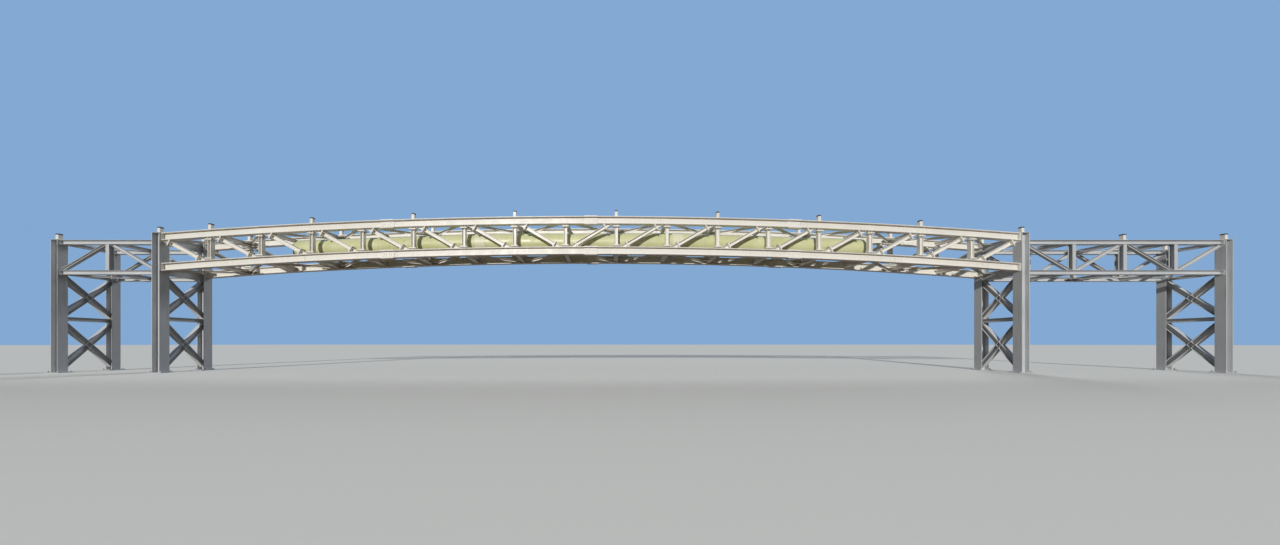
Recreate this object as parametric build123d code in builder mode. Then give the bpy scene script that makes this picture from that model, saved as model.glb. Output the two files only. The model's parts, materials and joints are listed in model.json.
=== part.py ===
"""Steel pipe bridge, a 1:2 scale model: a box truss on two towers, with an approach truss at each end.

Millimetres at the model's own size. X runs along the bridge, Y across it and +Z up. The origin is on
the ground plane under the middle of the whole bridge, and the near side is at negative Y.
"""
from build123d import *
from collections import namedtuple
import math
import os

os.makedirs("parts", exist_ok=True)

# Panels along the bridge, counted from the left end trestle
BAY = 1500.0
LEFT_APPROACH_BAYS = 2
MAIN_BAYS = 17
RIGHT_APPROACH_BAYS = 4
LEFT_TRESTLE = 0
LEFT_TOWER = LEFT_TRESTLE + LEFT_APPROACH_BAYS
RIGHT_TOWER = LEFT_TOWER + MAIN_BAYS
RIGHT_TRESTLE = RIGHT_TOWER + RIGHT_APPROACH_BAYS

# Main truss
TRUSS_WIDTH = 1000.0            # between the middles of the two side trusses
TRUSS_DEPTH = 1115.0            # over both chords
CLEARANCE_HEIGHT = 3000.0       # underside of the bottom chord at the towers
CAMBER = 500.0                  # rise of the middle of the main span over its ends
FIRST_MIRRORED_BAY = LEFT_TOWER + MAIN_BAYS // 2
SPLICES = [4.5, 8.5, 12.5]      # bays from the left tower to each joint of the chord lengths
SPLICE_GAP = 5.0                # between two chord lengths
SPLICE_LENGTH = 385.0
SPLICE_PLATE = 14.0
SPLICE_WEB_HEIGHT = 160.0
CHORD_END_PLATE = 12.0

# Rolled sections: depth over the flanges, flange width, web and flange thickness
Section = namedtuple("Section", "depth width web flange")
CHORD = Section(220.0, 150.0, 9.0, 18.0)
VERTICAL = Section(100.0, 100.0, 6.0, 8.0)
DIAGONAL = Section(100.0, 100.0, 5.0, 8.0)
CROSS_BEAM = Section(120.0, 120.0, 6.0, 9.0)
TOP_STRUT = Section(100.0, 100.0, 6.0, 8.0)
TOWER_LEG = Section(230.0, 210.0, 10.0, 17.0)
TOWER_BEAM = Section(240.0, 120.0, 7.0, 12.0)
TOWER_STRUT = Section(120.0, 120.0, 6.0, 9.0)
TOWER_BRACE = Section(125.0, 125.0, 6.0, 9.0)
TRESTLE_LEG = Section(200.0, 180.0, 8.0, 13.0)
APPROACH_CHORD = Section(125.0, 125.0, 6.0, 8.0)
APPROACH_VERTICAL = Section(100.0, 100.0, 6.0, 8.0)
APPROACH_DIAGONAL = Section(75.0, 75.0, 5.0, 7.0)
APPROACH_BEAM = Section(100.0, 90.0, 6.0, 8.0)

# Bolted joints of the web members
LOWER_STUB_HEIGHT = 45.0        # from the bottom chord's flange to the joint of a vertical
UPPER_STUB_HEIGHT = 70.0        # from the top chord's flange down to the other joint
JOINT_PLATE = 16.0
VERTICAL_PLATE_WIDTH = 200.0
DIAGONAL_PLATE_DEPTH = 185.0
DIAGONAL_SETBACK = 325.0        # along the bridge, from the panel point to the joint

# Floor beams, top struts and the bracing between them
CROSS_BEAM_LIFT = 25.0          # under the beam, over the chord's underside
GUSSET_PLATE = 8.0
GUSSET_LONG = 300.0
GUSSET_SHORT = 220.0
GUSSET_LONG_CUT = 130.0
GUSSET_SHORT_CUT = 180.0
GUSSET_LEG_GAP = 10.0           # between a gusset and the leg beside it
BRACE_LEG = 60.0
APPROACH_BRACE_LEG = 42.0
BRACE_THICKNESS = 6.0
BRACE_CUTBACK = 120.0           # from the work point to the end of a brace

# Approach trusses
APPROACH_UNDERSIDE = 2900.0
APPROACH_DEPTH = 1015.0
APPROACH_END_PLATE = 10.0

# Towers and end trestles
BASE_PLATE_LENGTH = 400.0
BASE_PLATE_WIDTH = 280.0
BASE_PLATE = 16.0
ANCHOR_LENGTH = 310.0           # between the anchor holes, along the bridge
ANCHOR_WIDTH = 200.0
ANCHOR_RADIUS = 10.0
CAP_PLATE = 12.0
CAP_OVERHANG = 10.0
MIDDLE_STRUT_HEIGHT = 1600.0
FLOOR_BEAM_DROP = 95.0          # of the tower's floor beam under the main truss
TOP_BEAM_DROP = 60.0            # of the tower's top beam under the top of the main truss
BRACE_FOOT_HEIGHT = 90.0        # from the base plate to the lowest brace

# Pipe of reinforced plastic in three lengths, and what holds it
PIPE_DIAMETER = 625.0
PIPE_WALL = 12.5
PIPE_JOINTS = [2.5, 6.25, 10.25, 14.05]     # bays from the left tower to each end of a length
PIPE_LIFT = 190.0               # from the chord's underside to the bottom of the pipe at its joints
PIPE_GAP = 16.0
BAND_LENGTH = 300.0
BAND_THICKNESS = 6.0
FIT_CLEARANCE = 0.5             # round the pipe, in its bands and saddles
SADDLE_LENGTH = 110.0
SADDLE_PLATE = 8.0
SADDLE_WEB = 10.0
SADDLE_HALF_ANGLE = 60.0

# Short posts on the top chords
POST_SIZE = 80.0
POST_WALL = 5.0
POST_HEIGHT = 150.0
POST_BASE_SIZE = 130.0
POST_BASE = 8.0
POST_CAP_SIZE = 84.0
POST_CAP = 35.0

X_AXIS = (1, 0, 0)
Y_AXIS = (0, 1, 0)
SIDE_Y = TRUSS_WIDTH / 2
NEAR = -1
FAR = 1
TOP_OF_TRUSS = CLEARANCE_HEIGHT + TRUSS_DEPTH
TOP_OF_APPROACH = APPROACH_UNDERSIDE + APPROACH_DEPTH
PIPE_RADIUS = PIPE_DIAMETER / 2


def panel_x(panel):
    """Place of a panel point along the bridge; a share of a bay is allowed."""
    return (panel - (LEFT_TRESTLE + RIGHT_TRESTLE) / 2) * BAY


def panel_rise(panel):
    """Camber of the main truss at one panel point, on a parabola."""
    share = 2 * (panel - LEFT_TOWER) / MAIN_BAYS - 1
    return CAMBER * (1 - share ** 2)


def main_line(x):
    """Underside of the main truss, straight in each bay."""
    place = x / BAY + (LEFT_TRESTLE + RIGHT_TRESTLE) / 2
    panel = min(max(math.floor(place), LEFT_TOWER), RIGHT_TOWER - 1)
    start = panel_rise(panel)
    return CLEARANCE_HEIGHT + start + (place - panel) * (panel_rise(panel + 1) - start)


def approach_line(x):
    """Underside of the approach trusses, level."""
    return APPROACH_UNDERSIDE


def path_between(start_x, end_x):
    """Both ends and every panel point between them, where the camber changes."""
    inner = [panel_x(panel) for panel in range(LEFT_TRESTLE, RIGHT_TRESTLE + 1)]
    return [start_x] + [x for x in inner if start_x < x < end_x] + [end_x]


def strip(line, start_x, end_x, low, high, y, width, mode=Mode.ADD):
    """A bar that follows a truss line between two heights over it."""
    path = path_between(start_x, end_x)
    floor_points = [(x, line(x) + low) for x in path]
    roof_points = [(x, line(x) + high) for x in reversed(path)]
    with BuildSketch(Plane.XZ.offset(-y)) as profile:
        Polygon(*floor_points, *roof_points, align=None)
    extrude(profile.sketch, amount=width / 2, both=True, mode=mode)


def h_profile(section):
    """An H in the current sketch, its depth along the sketch's own Y."""
    Rectangle(section.web, section.depth)
    flange_middle = (section.depth - section.flange) / 2
    with Locations((0, flange_middle), (0, -flange_middle)):
        Rectangle(section.width, section.flange)


def h_member(start, end, section, across):
    """A rolled section from one point to another, its flanges as wide as the direction across."""
    run = Vector(*end) - Vector(*start)
    with BuildSketch(Plane(origin=start, x_dir=across, z_dir=run)) as profile:
        h_profile(section)
    extrude(profile.sketch, amount=run.length)


def joint_plate(start, direction, width, depth, across, thickness=JOINT_PLATE):
    """A flat plate square to a member, from its start along the direction."""
    with BuildSketch(Plane(origin=start, x_dir=across, z_dir=direction)) as profile:
        Rectangle(width, depth)
    extrude(profile.sketch, amount=thickness)


def solid_box(x_range, y_range, z_range, mode=Mode.ADD):
    """A block between two corners."""
    size = [high - low for low, high in (x_range, y_range, z_range)]
    middle = [(high + low) / 2 for low, high in (x_range, y_range, z_range)]
    with Locations(Location(middle)):
        Box(*size, mode=mode)


def save(builder, name):
    """Label one finished piece and write it."""
    builder.part.label = name
    export_step(builder.part, f"parts/{name}.step")


def save_group(pieces, name):
    """Write like pieces that don't touch each other as one set."""
    with BuildPart() as group:
        add(pieces)
    save(group, name)


def save_both_sides(pieces, name):
    """Write the near side's pieces, and the same pieces on the far side of the bridge."""
    with BuildPart() as near:
        add(pieces)
    save(near, f"near_{name}")
    with BuildPart() as far:
        mirror(near.part, about=Plane.XZ)
    save(far, f"far_{name}")


# Chords of the main truss, in shop lengths, with the stubs that the web members bolt to
def diagonal_ends(bay):
    """Bottom and top work points of the diagonal in a bay, which falls towards mid-span."""
    falls_right = bay < FIRST_MIRRORED_BAY
    top_panel = bay if falls_right else bay + 1
    bottom_panel = bay + 1 if falls_right else bay
    top_x = panel_x(top_panel)
    bottom_x = panel_x(bottom_panel)
    top = Vector(top_x, -SIDE_Y, main_line(top_x) + TRUSS_DEPTH - CHORD.depth / 2)
    bottom = Vector(bottom_x, -SIDE_Y, main_line(bottom_x) + CHORD.depth / 2)
    return bottom, top


def joint_distance(bay):
    """From a work point to the bolted joint, along the diagonal of a bay."""
    bottom, top = diagonal_ends(bay)
    return DIAGONAL_SETBACK * (top - bottom).length / abs(top.X - bottom.X)


def cut_at_chord(x, low, is_top):
    """Cut the current stub off in the chord's inner flange."""
    high = low + CHORD.depth
    cut_low = low + CHORD.flange / 2 if is_top else low - CHORD.depth
    cut_high = high + CHORD.depth if is_top else high - CHORD.flange / 2
    strip(main_line, x - BAY / 2, x + BAY / 2, cut_low, cut_high, -SIDE_Y, 2 * CHORD.width, Mode.SUBTRACT)


def diagonal_stub(bay, low, is_top):
    """The end of a diagonal that is welded to the chord, with its joint plate."""
    bottom, top = diagonal_ends(bay)
    work_point = top if is_top else bottom
    direction = ((bottom - top) if is_top else (top - bottom)).normalized()
    distance = joint_distance(bay)
    plate_start = work_point + direction * (distance - JOINT_PLATE)
    with BuildPart() as stub:
        h_member(work_point, work_point + direction * distance, DIAGONAL, Y_AXIS)
        joint_plate(plate_start, direction, CHORD.width, DIAGONAL_PLATE_DEPTH, Y_AXIS)
        cut_at_chord(work_point.X, low, is_top)
        solid_box((LEFT_CHORD_END, RIGHT_CHORD_END), (-SIDE_Y - CHORD.width, -SIDE_Y + CHORD.width),
                  (0, TOP_OF_TRUSS + CAMBER), Mode.INTERSECT)
    return stub.part


def vertical_stub(panel, low, is_top):
    """A short welded end on a chord's inner flange, up or down to the joint of a vertical."""
    x = panel_x(panel)
    direction = -1 if is_top else 1
    face = main_line(x) + (low if is_top else low + CHORD.depth)
    joint = face + direction * (UPPER_STUB_HEIGHT if is_top else LOWER_STUB_HEIGHT)
    with BuildPart() as stub:
        h_member((x, -SIDE_Y, face - direction * CHORD.flange), (x, -SIDE_Y, joint), VERTICAL, Y_AXIS)
        cut_at_chord(x, low, is_top)
        plate_start = (x, -SIDE_Y, joint - direction * JOINT_PLATE)
        joint_plate(plate_start, (0, 0, direction), VERTICAL_PLATE_WIDTH, CHORD.width, X_AXIS)
    return stub.part


LEFT_CHORD_END = panel_x(LEFT_TOWER) + TOWER_LEG.depth / 2
RIGHT_CHORD_END = panel_x(RIGHT_TOWER) - TOWER_LEG.depth / 2
SPLICE_X = [panel_x(LEFT_TOWER + bays) for bays in SPLICES]
LENGTH_STARTS = [LEFT_CHORD_END] + [x + SPLICE_GAP / 2 for x in SPLICE_X]
LENGTH_ENDS = [x - SPLICE_GAP / 2 for x in SPLICE_X] + [RIGHT_CHORD_END]


def joint_x(bay, is_top):
    """Place along the bridge of a diagonal's upper or lower joint."""
    bottom, top = diagonal_ends(bay)
    if is_top:
        return top.X + DIAGONAL_SETBACK * math.copysign(1, bottom.X - top.X)
    return bottom.X + DIAGONAL_SETBACK * math.copysign(1, top.X - bottom.X)


def chord_length(low, is_top, start_x, end_x):
    """One shop length of the near chord, with the stubs on it and a plate where it ends at a leg."""
    high = low + CHORD.depth
    stubs = []
    for panel in range(LEFT_TOWER + 1, RIGHT_TOWER):
        if start_x < panel_x(panel) < end_x:
            stubs.append(vertical_stub(panel, low, is_top))
    for bay in range(LEFT_TOWER, RIGHT_TOWER):
        if start_x < joint_x(bay, is_top) < end_x:
            stubs.append(diagonal_stub(bay, low, is_top))
    with BuildPart() as length:
        strip(main_line, start_x, end_x, low, low + CHORD.flange, -SIDE_Y, CHORD.width)
        strip(main_line, start_x, end_x, high - CHORD.flange, high, -SIDE_Y, CHORD.width)
        strip(main_line, start_x, end_x, low, high, -SIDE_Y, CHORD.web)
        if start_x == LEFT_CHORD_END:
            strip(main_line, start_x, start_x + CHORD_END_PLATE, low, high, -SIDE_Y, CHORD.width)
        if end_x == RIGHT_CHORD_END:
            strip(main_line, end_x - CHORD_END_PLATE, end_x, low, high, -SIDE_Y, CHORD.width)
        add(stubs)
    return length.part


TOP_CHORD_LOW = TRUSS_DEPTH - CHORD.depth

for level, low in (("bottom", 0), ("top", TOP_CHORD_LOW)):
    is_top = level == "top"
    chord_lengths = [
        chord_length(low, is_top, start_x, end_x) for start_x, end_x in zip(LENGTH_STARTS, LENGTH_ENDS)
    ]
    save_both_sides(chord_lengths, f"{level}_chord")


# Splice plates: one on each flange and one on each side of the web
def splice_plates(low):
    """The four plates of each splice of one near chord."""
    high = low + CHORD.depth
    middle = (low + high) / 2
    web_low = middle - SPLICE_WEB_HEIGHT / 2
    web_high = middle + SPLICE_WEB_HEIGHT / 2
    web_offset = (CHORD.web + SPLICE_PLATE) / 2
    for x in SPLICE_X:
        start_x = x - SPLICE_LENGTH / 2
        end_x = x + SPLICE_LENGTH / 2
        strip(main_line, start_x, end_x, low - SPLICE_PLATE, low, -SIDE_Y, CHORD.width)
        strip(main_line, start_x, end_x, high, high + SPLICE_PLATE, -SIDE_Y, CHORD.width)
        for side in (NEAR, FAR):
            strip(main_line, start_x, end_x, web_low, web_high, -SIDE_Y + side * web_offset, SPLICE_PLATE)


for level, low in (("bottom", 0), ("top", TOP_CHORD_LOW)):
    with BuildPart() as splices:
        splice_plates(low)
        mirror(about=Plane.XZ)
    save(splices, f"{level}_splices")


# Verticals and diagonals, each between the plates of its two stubs
def vertical(panel):
    """One vertical of the near truss."""
    x = panel_x(panel)
    foot = main_line(x) + CHORD.depth + LOWER_STUB_HEIGHT
    head = main_line(x) + TOP_CHORD_LOW - UPPER_STUB_HEIGHT
    with BuildPart() as member:
        h_member((x, -SIDE_Y, foot), (x, -SIDE_Y, head), VERTICAL, Y_AXIS)
        for plate_start in (foot, head - JOINT_PLATE):
            joint_plate((x, -SIDE_Y, plate_start), (0, 0, 1), VERTICAL_PLATE_WIDTH, CHORD.width, X_AXIS)
    return member.part


def diagonal(bay):
    """One diagonal of the near truss."""
    bottom, top = diagonal_ends(bay)
    direction = (top - bottom).normalized()
    foot = bottom + direction * joint_distance(bay)
    head = top - direction * joint_distance(bay)
    with BuildPart() as member:
        h_member(foot, head, DIAGONAL, Y_AXIS)
        for plate_start in (foot, head - direction * JOINT_PLATE):
            joint_plate(plate_start, direction, CHORD.width, DIAGONAL_PLATE_DEPTH, Y_AXIS)
    return member.part


save_both_sides([vertical(panel) for panel in range(LEFT_TOWER + 1, RIGHT_TOWER)], "verticals")
save_both_sides([diagonal(bay) for bay in range(LEFT_TOWER, RIGHT_TOWER)], "diagonals")


# Members across the bridge, with the gussets that the bracing bolts under
def zigzag_side(panel):
    """The side where the bracing meets a panel: near at even panels, far at odd ones."""
    return NEAR if panel % 2 == 0 else FAR


def is_bent(panel):
    """Whether legs stand at this panel."""
    return panel in (LEFT_TRESTLE, LEFT_TOWER, RIGHT_TOWER, RIGHT_TRESTLE)


def leg_section(panel):
    """The leg's section at a bent."""
    return TOWER_LEG if panel in (LEFT_TOWER, RIGHT_TOWER) else TRESTLE_LEG


def corner_y(panel, chord):
    """How far from the middle a gusset starts: at the chord's web, or beside a leg."""
    if is_bent(panel):
        return SIDE_Y - leg_section(panel).width / 2 - GUSSET_LEG_GAP
    return SIDE_Y - chord.web / 2


def bay_plane(line, bay, height):
    """The plane of a bay at a height over the truss line, with its origin at the bay's left panel."""
    start_x = panel_x(bay)
    run = Vector(BAY, 0, line(panel_x(bay + 1)) - line(start_x))
    up = run.cross(Vector(*Y_AXIS))
    return Plane(origin=(start_x, 0, line(start_x) + height), x_dir=run, z_dir=up)


def bay_length(line, bay):
    """Length of a bay along the slope of the truss line."""
    return math.hypot(BAY, line(panel_x(bay + 1)) - line(panel_x(bay)))


def gusset(line, panel, bay, height, chord):
    """A horizontal corner plate at a panel, in the plane of the bay beside it."""
    is_left = panel == bay
    start = 0 if is_left else bay_length(line, bay)
    along = 1 if is_left else -1
    side = zigzag_side(panel)
    corner = corner_y(panel, chord)
    outline = [
        (0, 0),
        (GUSSET_LONG, 0),
        (GUSSET_LONG, GUSSET_LONG_CUT),
        (GUSSET_SHORT_CUT, GUSSET_SHORT),
        (0, GUSSET_SHORT),
    ]
    points = [(start + along * u, side * (corner - v)) for u, v in outline]
    with BuildSketch(bay_plane(line, bay, height)) as profile:
        Polygon(*points, align=None)
    extrude(profile.sketch, amount=GUSSET_PLATE / 2, both=True)


def brace(line, bay, height, leg, chord):
    """An angle under the gussets of a bay, from one side truss to the other."""
    plane = bay_plane(line, bay, height).offset(-GUSSET_PLATE / 2)
    start_point = Vector(0, zigzag_side(bay) * corner_y(bay, chord))
    end_point = Vector(bay_length(line, bay), zigzag_side(bay + 1) * corner_y(bay + 1, chord))
    run = end_point - start_point
    middle = (start_point + end_point) / 2
    turn = math.degrees(math.atan2(run.Y, run.X))
    length = run.length - 2 * BRACE_CUTBACK
    upright_offset = (leg - BRACE_THICKNESS) / 2
    with BuildPart() as angle:
        for depth, width, offset in ((BRACE_THICKNESS, leg, 0), (leg, BRACE_THICKNESS, upright_offset)):
            with BuildSketch(plane) as profile:
                with Locations(Location((middle.X, middle.Y), turn)):
                    with Locations((0, offset)):
                        Rectangle(length, width)
            extrude(profile.sketch, amount=-depth)
    return angle.part


def cross_member(line, panel, height, section, chord):
    """A member between the chords' webs at a height over the truss line, with a gusset each way."""
    x = panel_x(panel)
    z = line(x) + height
    half_length = SIDE_Y - chord.web / 2
    with BuildPart() as member:
        h_member((x, -half_length, z), (x, half_length, z), section, X_AXIS)
        for bay in (panel - 1, panel):
            gusset(line, panel, bay, height, chord)
    return member.part


CROSS_BEAM_MIDDLE = CROSS_BEAM_LIFT + CROSS_BEAM.depth / 2
TOP_STRUT_MIDDLE = TRUSS_DEPTH - CHORD.depth / 2
MAIN_PANELS = range(LEFT_TOWER + 1, RIGHT_TOWER)
MAIN_SPAN_BAYS = range(LEFT_TOWER, RIGHT_TOWER)

for name, section, height in (
    ("cross_beams", CROSS_BEAM, CROSS_BEAM_MIDDLE),
    ("top_struts", TOP_STRUT, TOP_STRUT_MIDDLE),
):
    save_group([cross_member(main_line, panel, height, section, CHORD) for panel in MAIN_PANELS], name)

for name, height in (("bottom_bracing", CROSS_BEAM_MIDDLE), ("top_bracing", TOP_STRUT_MIDDLE)):
    save_group([brace(main_line, bay, height, BRACE_LEG, CHORD) for bay in MAIN_SPAN_BAYS], name)


# Approach trusses: welded side panels, and members across between them
def approach_side(first_panel, last_panel):
    """The near side of an approach truss, welded into one panel between its two legs."""
    start_x = panel_x(first_panel) + leg_section(first_panel).depth / 2
    end_x = panel_x(last_panel) - leg_section(last_panel).depth / 2
    bottom_z = APPROACH_UNDERSIDE + APPROACH_CHORD.depth / 2
    top_z = TOP_OF_APPROACH - APPROACH_CHORD.depth / 2
    foot = APPROACH_UNDERSIDE + APPROACH_CHORD.depth
    head = TOP_OF_APPROACH - APPROACH_CHORD.depth
    for bay in range(first_panel, last_panel):
        meets_bottom_at_left = bay % 2 == 0
        bottom_x = panel_x(bay if meets_bottom_at_left else bay + 1)
        top_x = panel_x(bay + 1 if meets_bottom_at_left else bay)
        h_member((bottom_x, -SIDE_Y, bottom_z), (top_x, -SIDE_Y, top_z), APPROACH_DIAGONAL, Y_AXIS)
    side_y_range = (-SIDE_Y - APPROACH_CHORD.width, -SIDE_Y + APPROACH_CHORD.width)
    past_start = (start_x - BAY, start_x + APPROACH_END_PLATE)
    past_end = (end_x - APPROACH_END_PLATE, end_x + BAY)
    for x_range in (past_start, past_end):
        solid_box(x_range, side_y_range, (APPROACH_UNDERSIDE - BAY, TOP_OF_APPROACH + BAY), Mode.SUBTRACT)
    for z_range in ((foot - BAY, foot), (head, head + BAY)):
        solid_box((start_x, end_x), side_y_range, z_range, Mode.SUBTRACT)
    for panel in range(first_panel + 1, last_panel):
        x = panel_x(panel)
        half = APPROACH_VERTICAL.width / 2
        solid_box((x - half, x + half), side_y_range, (foot, head), Mode.SUBTRACT)
        h_member((x, -SIDE_Y, foot), (x, -SIDE_Y, head), APPROACH_VERTICAL, X_AXIS)
    for low in (0, APPROACH_DEPTH - APPROACH_CHORD.depth):
        z = APPROACH_UNDERSIDE + low + APPROACH_CHORD.depth / 2
        h_member((start_x, -SIDE_Y, z), (end_x, -SIDE_Y, z), APPROACH_CHORD, Y_AXIS)
        for plate_x in (start_x, end_x - APPROACH_END_PLATE):
            solid_box((plate_x, plate_x + APPROACH_END_PLATE),
                      (-SIDE_Y - APPROACH_CHORD.width / 2, -SIDE_Y + APPROACH_CHORD.width / 2),
                      (z - APPROACH_CHORD.depth / 2, z + APPROACH_CHORD.depth / 2))


APPROACH_FLOOR_MIDDLE = APPROACH_CHORD.depth / 2
APPROACH_TOP_MIDDLE = APPROACH_DEPTH - APPROACH_CHORD.depth / 2

for side_name, first_panel, last_panel in (
    ("left", LEFT_TRESTLE, LEFT_TOWER),
    ("right", RIGHT_TOWER, RIGHT_TRESTLE),
):
    with BuildPart() as near_side:
        approach_side(first_panel, last_panel)
    save(near_side, f"{side_name}_approach_near_side")
    with BuildPart() as far_side:
        mirror(near_side.part, about=Plane.XZ)
    save(far_side, f"{side_name}_approach_far_side")

    for level, height in (("floor_beams", APPROACH_FLOOR_MIDDLE), ("top_struts", APPROACH_TOP_MIDDLE)):
        approach_members = [
            cross_member(approach_line, panel, height, APPROACH_BEAM, APPROACH_CHORD)
            for panel in range(first_panel + 1, last_panel)
        ]
        save_group(approach_members, f"{side_name}_approach_{level}")

    approach_braces = [
        brace(approach_line, bay, height, APPROACH_BRACE_LEG, APPROACH_CHORD)
        for bay in range(first_panel, last_panel)
        for height in (APPROACH_FLOOR_MIDDLE, APPROACH_TOP_MIDDLE)
    ]
    save_group(approach_braces, f"{side_name}_approach_bracing")


# Towers and end trestles: two legs, the beams between them and two tiers of crossed braces
def bent_leg(panel, top_z):
    """The near leg of a bent, on its base plate with four anchor holes, under its cap plate."""
    section = leg_section(panel)
    x = panel_x(panel)
    h_member((x, -SIDE_Y, 0), (x, -SIDE_Y, top_z), section, Y_AXIS)
    with Locations((x, -SIDE_Y, BASE_PLATE / 2)):
        Box(BASE_PLATE_LENGTH, BASE_PLATE_WIDTH, BASE_PLATE)
    with Locations((x, -SIDE_Y, top_z + CAP_PLATE / 2)):
        Box(section.depth, section.width + 2 * CAP_OVERHANG, CAP_PLATE)
    with Locations((x, -SIDE_Y, BASE_PLATE)):
        with GridLocations(ANCHOR_LENGTH, ANCHOR_WIDTH, 2, 2):
            Hole(radius=ANCHOR_RADIUS, depth=2 * BASE_PLATE)


def crossed_braces(panel, foot, head):
    """One tier of two braces that cross, between the webs of the legs."""
    x = panel_x(panel)
    half_width = SIDE_Y - leg_section(panel).web / 2
    half_depth = TOWER_BRACE.width
    with BuildPart() as tier:
        for side in (NEAR, FAR):
            h_member((x, side * SIDE_Y, foot), (x, -side * SIDE_Y, head), TOWER_BRACE, X_AXIS)
        solid_box((x - half_depth, x + half_depth), (-half_width, half_width), (foot, head), Mode.INTERSECT)
    return tier.part


def bent_beams(panel, heights, beam):
    """The top and floor beams of a bent at their middle heights, its strut, and gussets on its beams."""
    x = panel_x(panel)
    inside = SIDE_Y - leg_section(panel).web / 2
    with BuildPart() as beams:
        for z in heights:
            h_member((x, -inside, z), (x, inside, z), beam, X_AXIS)
        h_member((x, -inside, MIDDLE_STRUT_HEIGHT), (x, inside, MIDDLE_STRUT_HEIGHT), TOWER_STRUT, X_AXIS)
        for bay in (panel - 1, panel):
            if LEFT_TOWER <= bay < RIGHT_TOWER:
                gusset(main_line, panel, bay, CROSS_BEAM_MIDDLE, CHORD)
                gusset(main_line, panel, bay, TOP_STRUT_MIDDLE, CHORD)
            elif LEFT_TRESTLE <= bay < RIGHT_TRESTLE:
                gusset(approach_line, panel, bay, APPROACH_FLOOR_MIDDLE, APPROACH_CHORD)
                gusset(approach_line, panel, bay, APPROACH_TOP_MIDDLE, APPROACH_CHORD)
    return beams


TOWER_BEAM_HEIGHTS = (
    CLEARANCE_HEIGHT - FLOOR_BEAM_DROP + TOWER_BEAM.depth / 2,
    TOP_OF_TRUSS - TOP_BEAM_DROP - TOWER_BEAM.depth / 2,
)
TRESTLE_BEAM_HEIGHTS = (
    APPROACH_UNDERSIDE + APPROACH_FLOOR_MIDDLE,
    APPROACH_UNDERSIDE + APPROACH_TOP_MIDDLE,
)

for name, panel, top_z, beam, heights in (
    ("left_tower", LEFT_TOWER, TOP_OF_TRUSS, TOWER_BEAM, TOWER_BEAM_HEIGHTS),
    ("right_tower", RIGHT_TOWER, TOP_OF_TRUSS, TOWER_BEAM, TOWER_BEAM_HEIGHTS),
    ("left_trestle", LEFT_TRESTLE, TOP_OF_APPROACH, APPROACH_BEAM, TRESTLE_BEAM_HEIGHTS),
    ("right_trestle", RIGHT_TRESTLE, TOP_OF_APPROACH, APPROACH_BEAM, TRESTLE_BEAM_HEIGHTS),
):
    with BuildPart() as near_leg:
        bent_leg(panel, top_z)
    save(near_leg, f"{name}_near_leg")
    with BuildPart() as far_leg:
        mirror(near_leg.part, about=Plane.XZ)
    save(far_leg, f"{name}_far_leg")
    save(bent_beams(panel, heights, beam), f"{name}_beams")

    strut_half = TOWER_STRUT.depth / 2
    lower_tier = crossed_braces(panel, BASE_PLATE + BRACE_FOOT_HEIGHT, MIDDLE_STRUT_HEIGHT - strut_half)
    upper_tier = crossed_braces(panel, MIDDLE_STRUT_HEIGHT + strut_half, heights[0] - beam.depth / 2)
    save_group([lower_tier, upper_tier], f"{name}_bracing")


# Pipe: three straight lengths that follow the camber, the bands over its joints, and its saddles
def pipe_point(bays):
    """The pipe's axis at a joint, over the truss line."""
    x = panel_x(LEFT_TOWER + bays)
    return Vector(x, 0, main_line(x) + PIPE_LIFT + PIPE_RADIUS)


PIPE_POINTS = [pipe_point(bays) for bays in PIPE_JOINTS]


def pipe_direction(index):
    """Direction of one pipe length, from its left end."""
    return (PIPE_POINTS[index + 1] - PIPE_POINTS[index]).normalized()


def axis_height(x):
    """Height of the pipe's axis over the ground at a place under one of its lengths."""
    for left, right in zip(PIPE_POINTS, PIPE_POINTS[1:]):
        if left.X <= x <= right.X:
            return left.Z + (x - left.X) / (right.X - left.X) * (right.Z - left.Z)


def length_at(x):
    """Which pipe length lies over a place."""
    starts = [point.X for point in PIPE_POINTS[:-1]]
    return sum(start <= x for start in starts) - 1


for index, name in enumerate(("pipe_left", "pipe_middle", "pipe_right")):
    direction = pipe_direction(index)
    is_first = index == 0
    is_last = index == len(PIPE_POINTS) - 2
    start = PIPE_POINTS[index] + direction * (0 if is_first else PIPE_GAP / 2)
    end = PIPE_POINTS[index + 1] - direction * (0 if is_last else PIPE_GAP / 2)
    with BuildPart() as pipe:
        with BuildSketch(Plane(origin=start, x_dir=Y_AXIS, z_dir=direction)) as profile:
            Circle(PIPE_RADIUS)
            Circle(PIPE_RADIUS - PIPE_WALL, mode=Mode.SUBTRACT)
        extrude(profile.sketch, amount=(end - start).length)
    save(pipe, name)

BAND_INSIDE = PIPE_RADIUS + FIT_CLEARANCE
BAND_OUTSIDE = BAND_INSIDE + BAND_THICKNESS


with BuildPart() as pipe_joints:
    for index, point in enumerate(PIPE_POINTS[1:-1], start=1):
        before = point - pipe_direction(index - 1) * (BAND_LENGTH / 2)
        after = point + pipe_direction(index) * (BAND_LENGTH / 2)
        with BuildLine() as band_path:
            Polyline(before, point, after)
        with BuildSketch(Plane(origin=before, x_dir=Y_AXIS, z_dir=pipe_direction(index - 1))) as ring:
            Circle(BAND_OUTSIDE)
            Circle(BAND_INSIDE, mode=Mode.SUBTRACT)
        sweep(sections=ring.sketch, path=band_path.line, transition=Transition.RIGHT)
save(pipe_joints, "pipe_joints")


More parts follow.
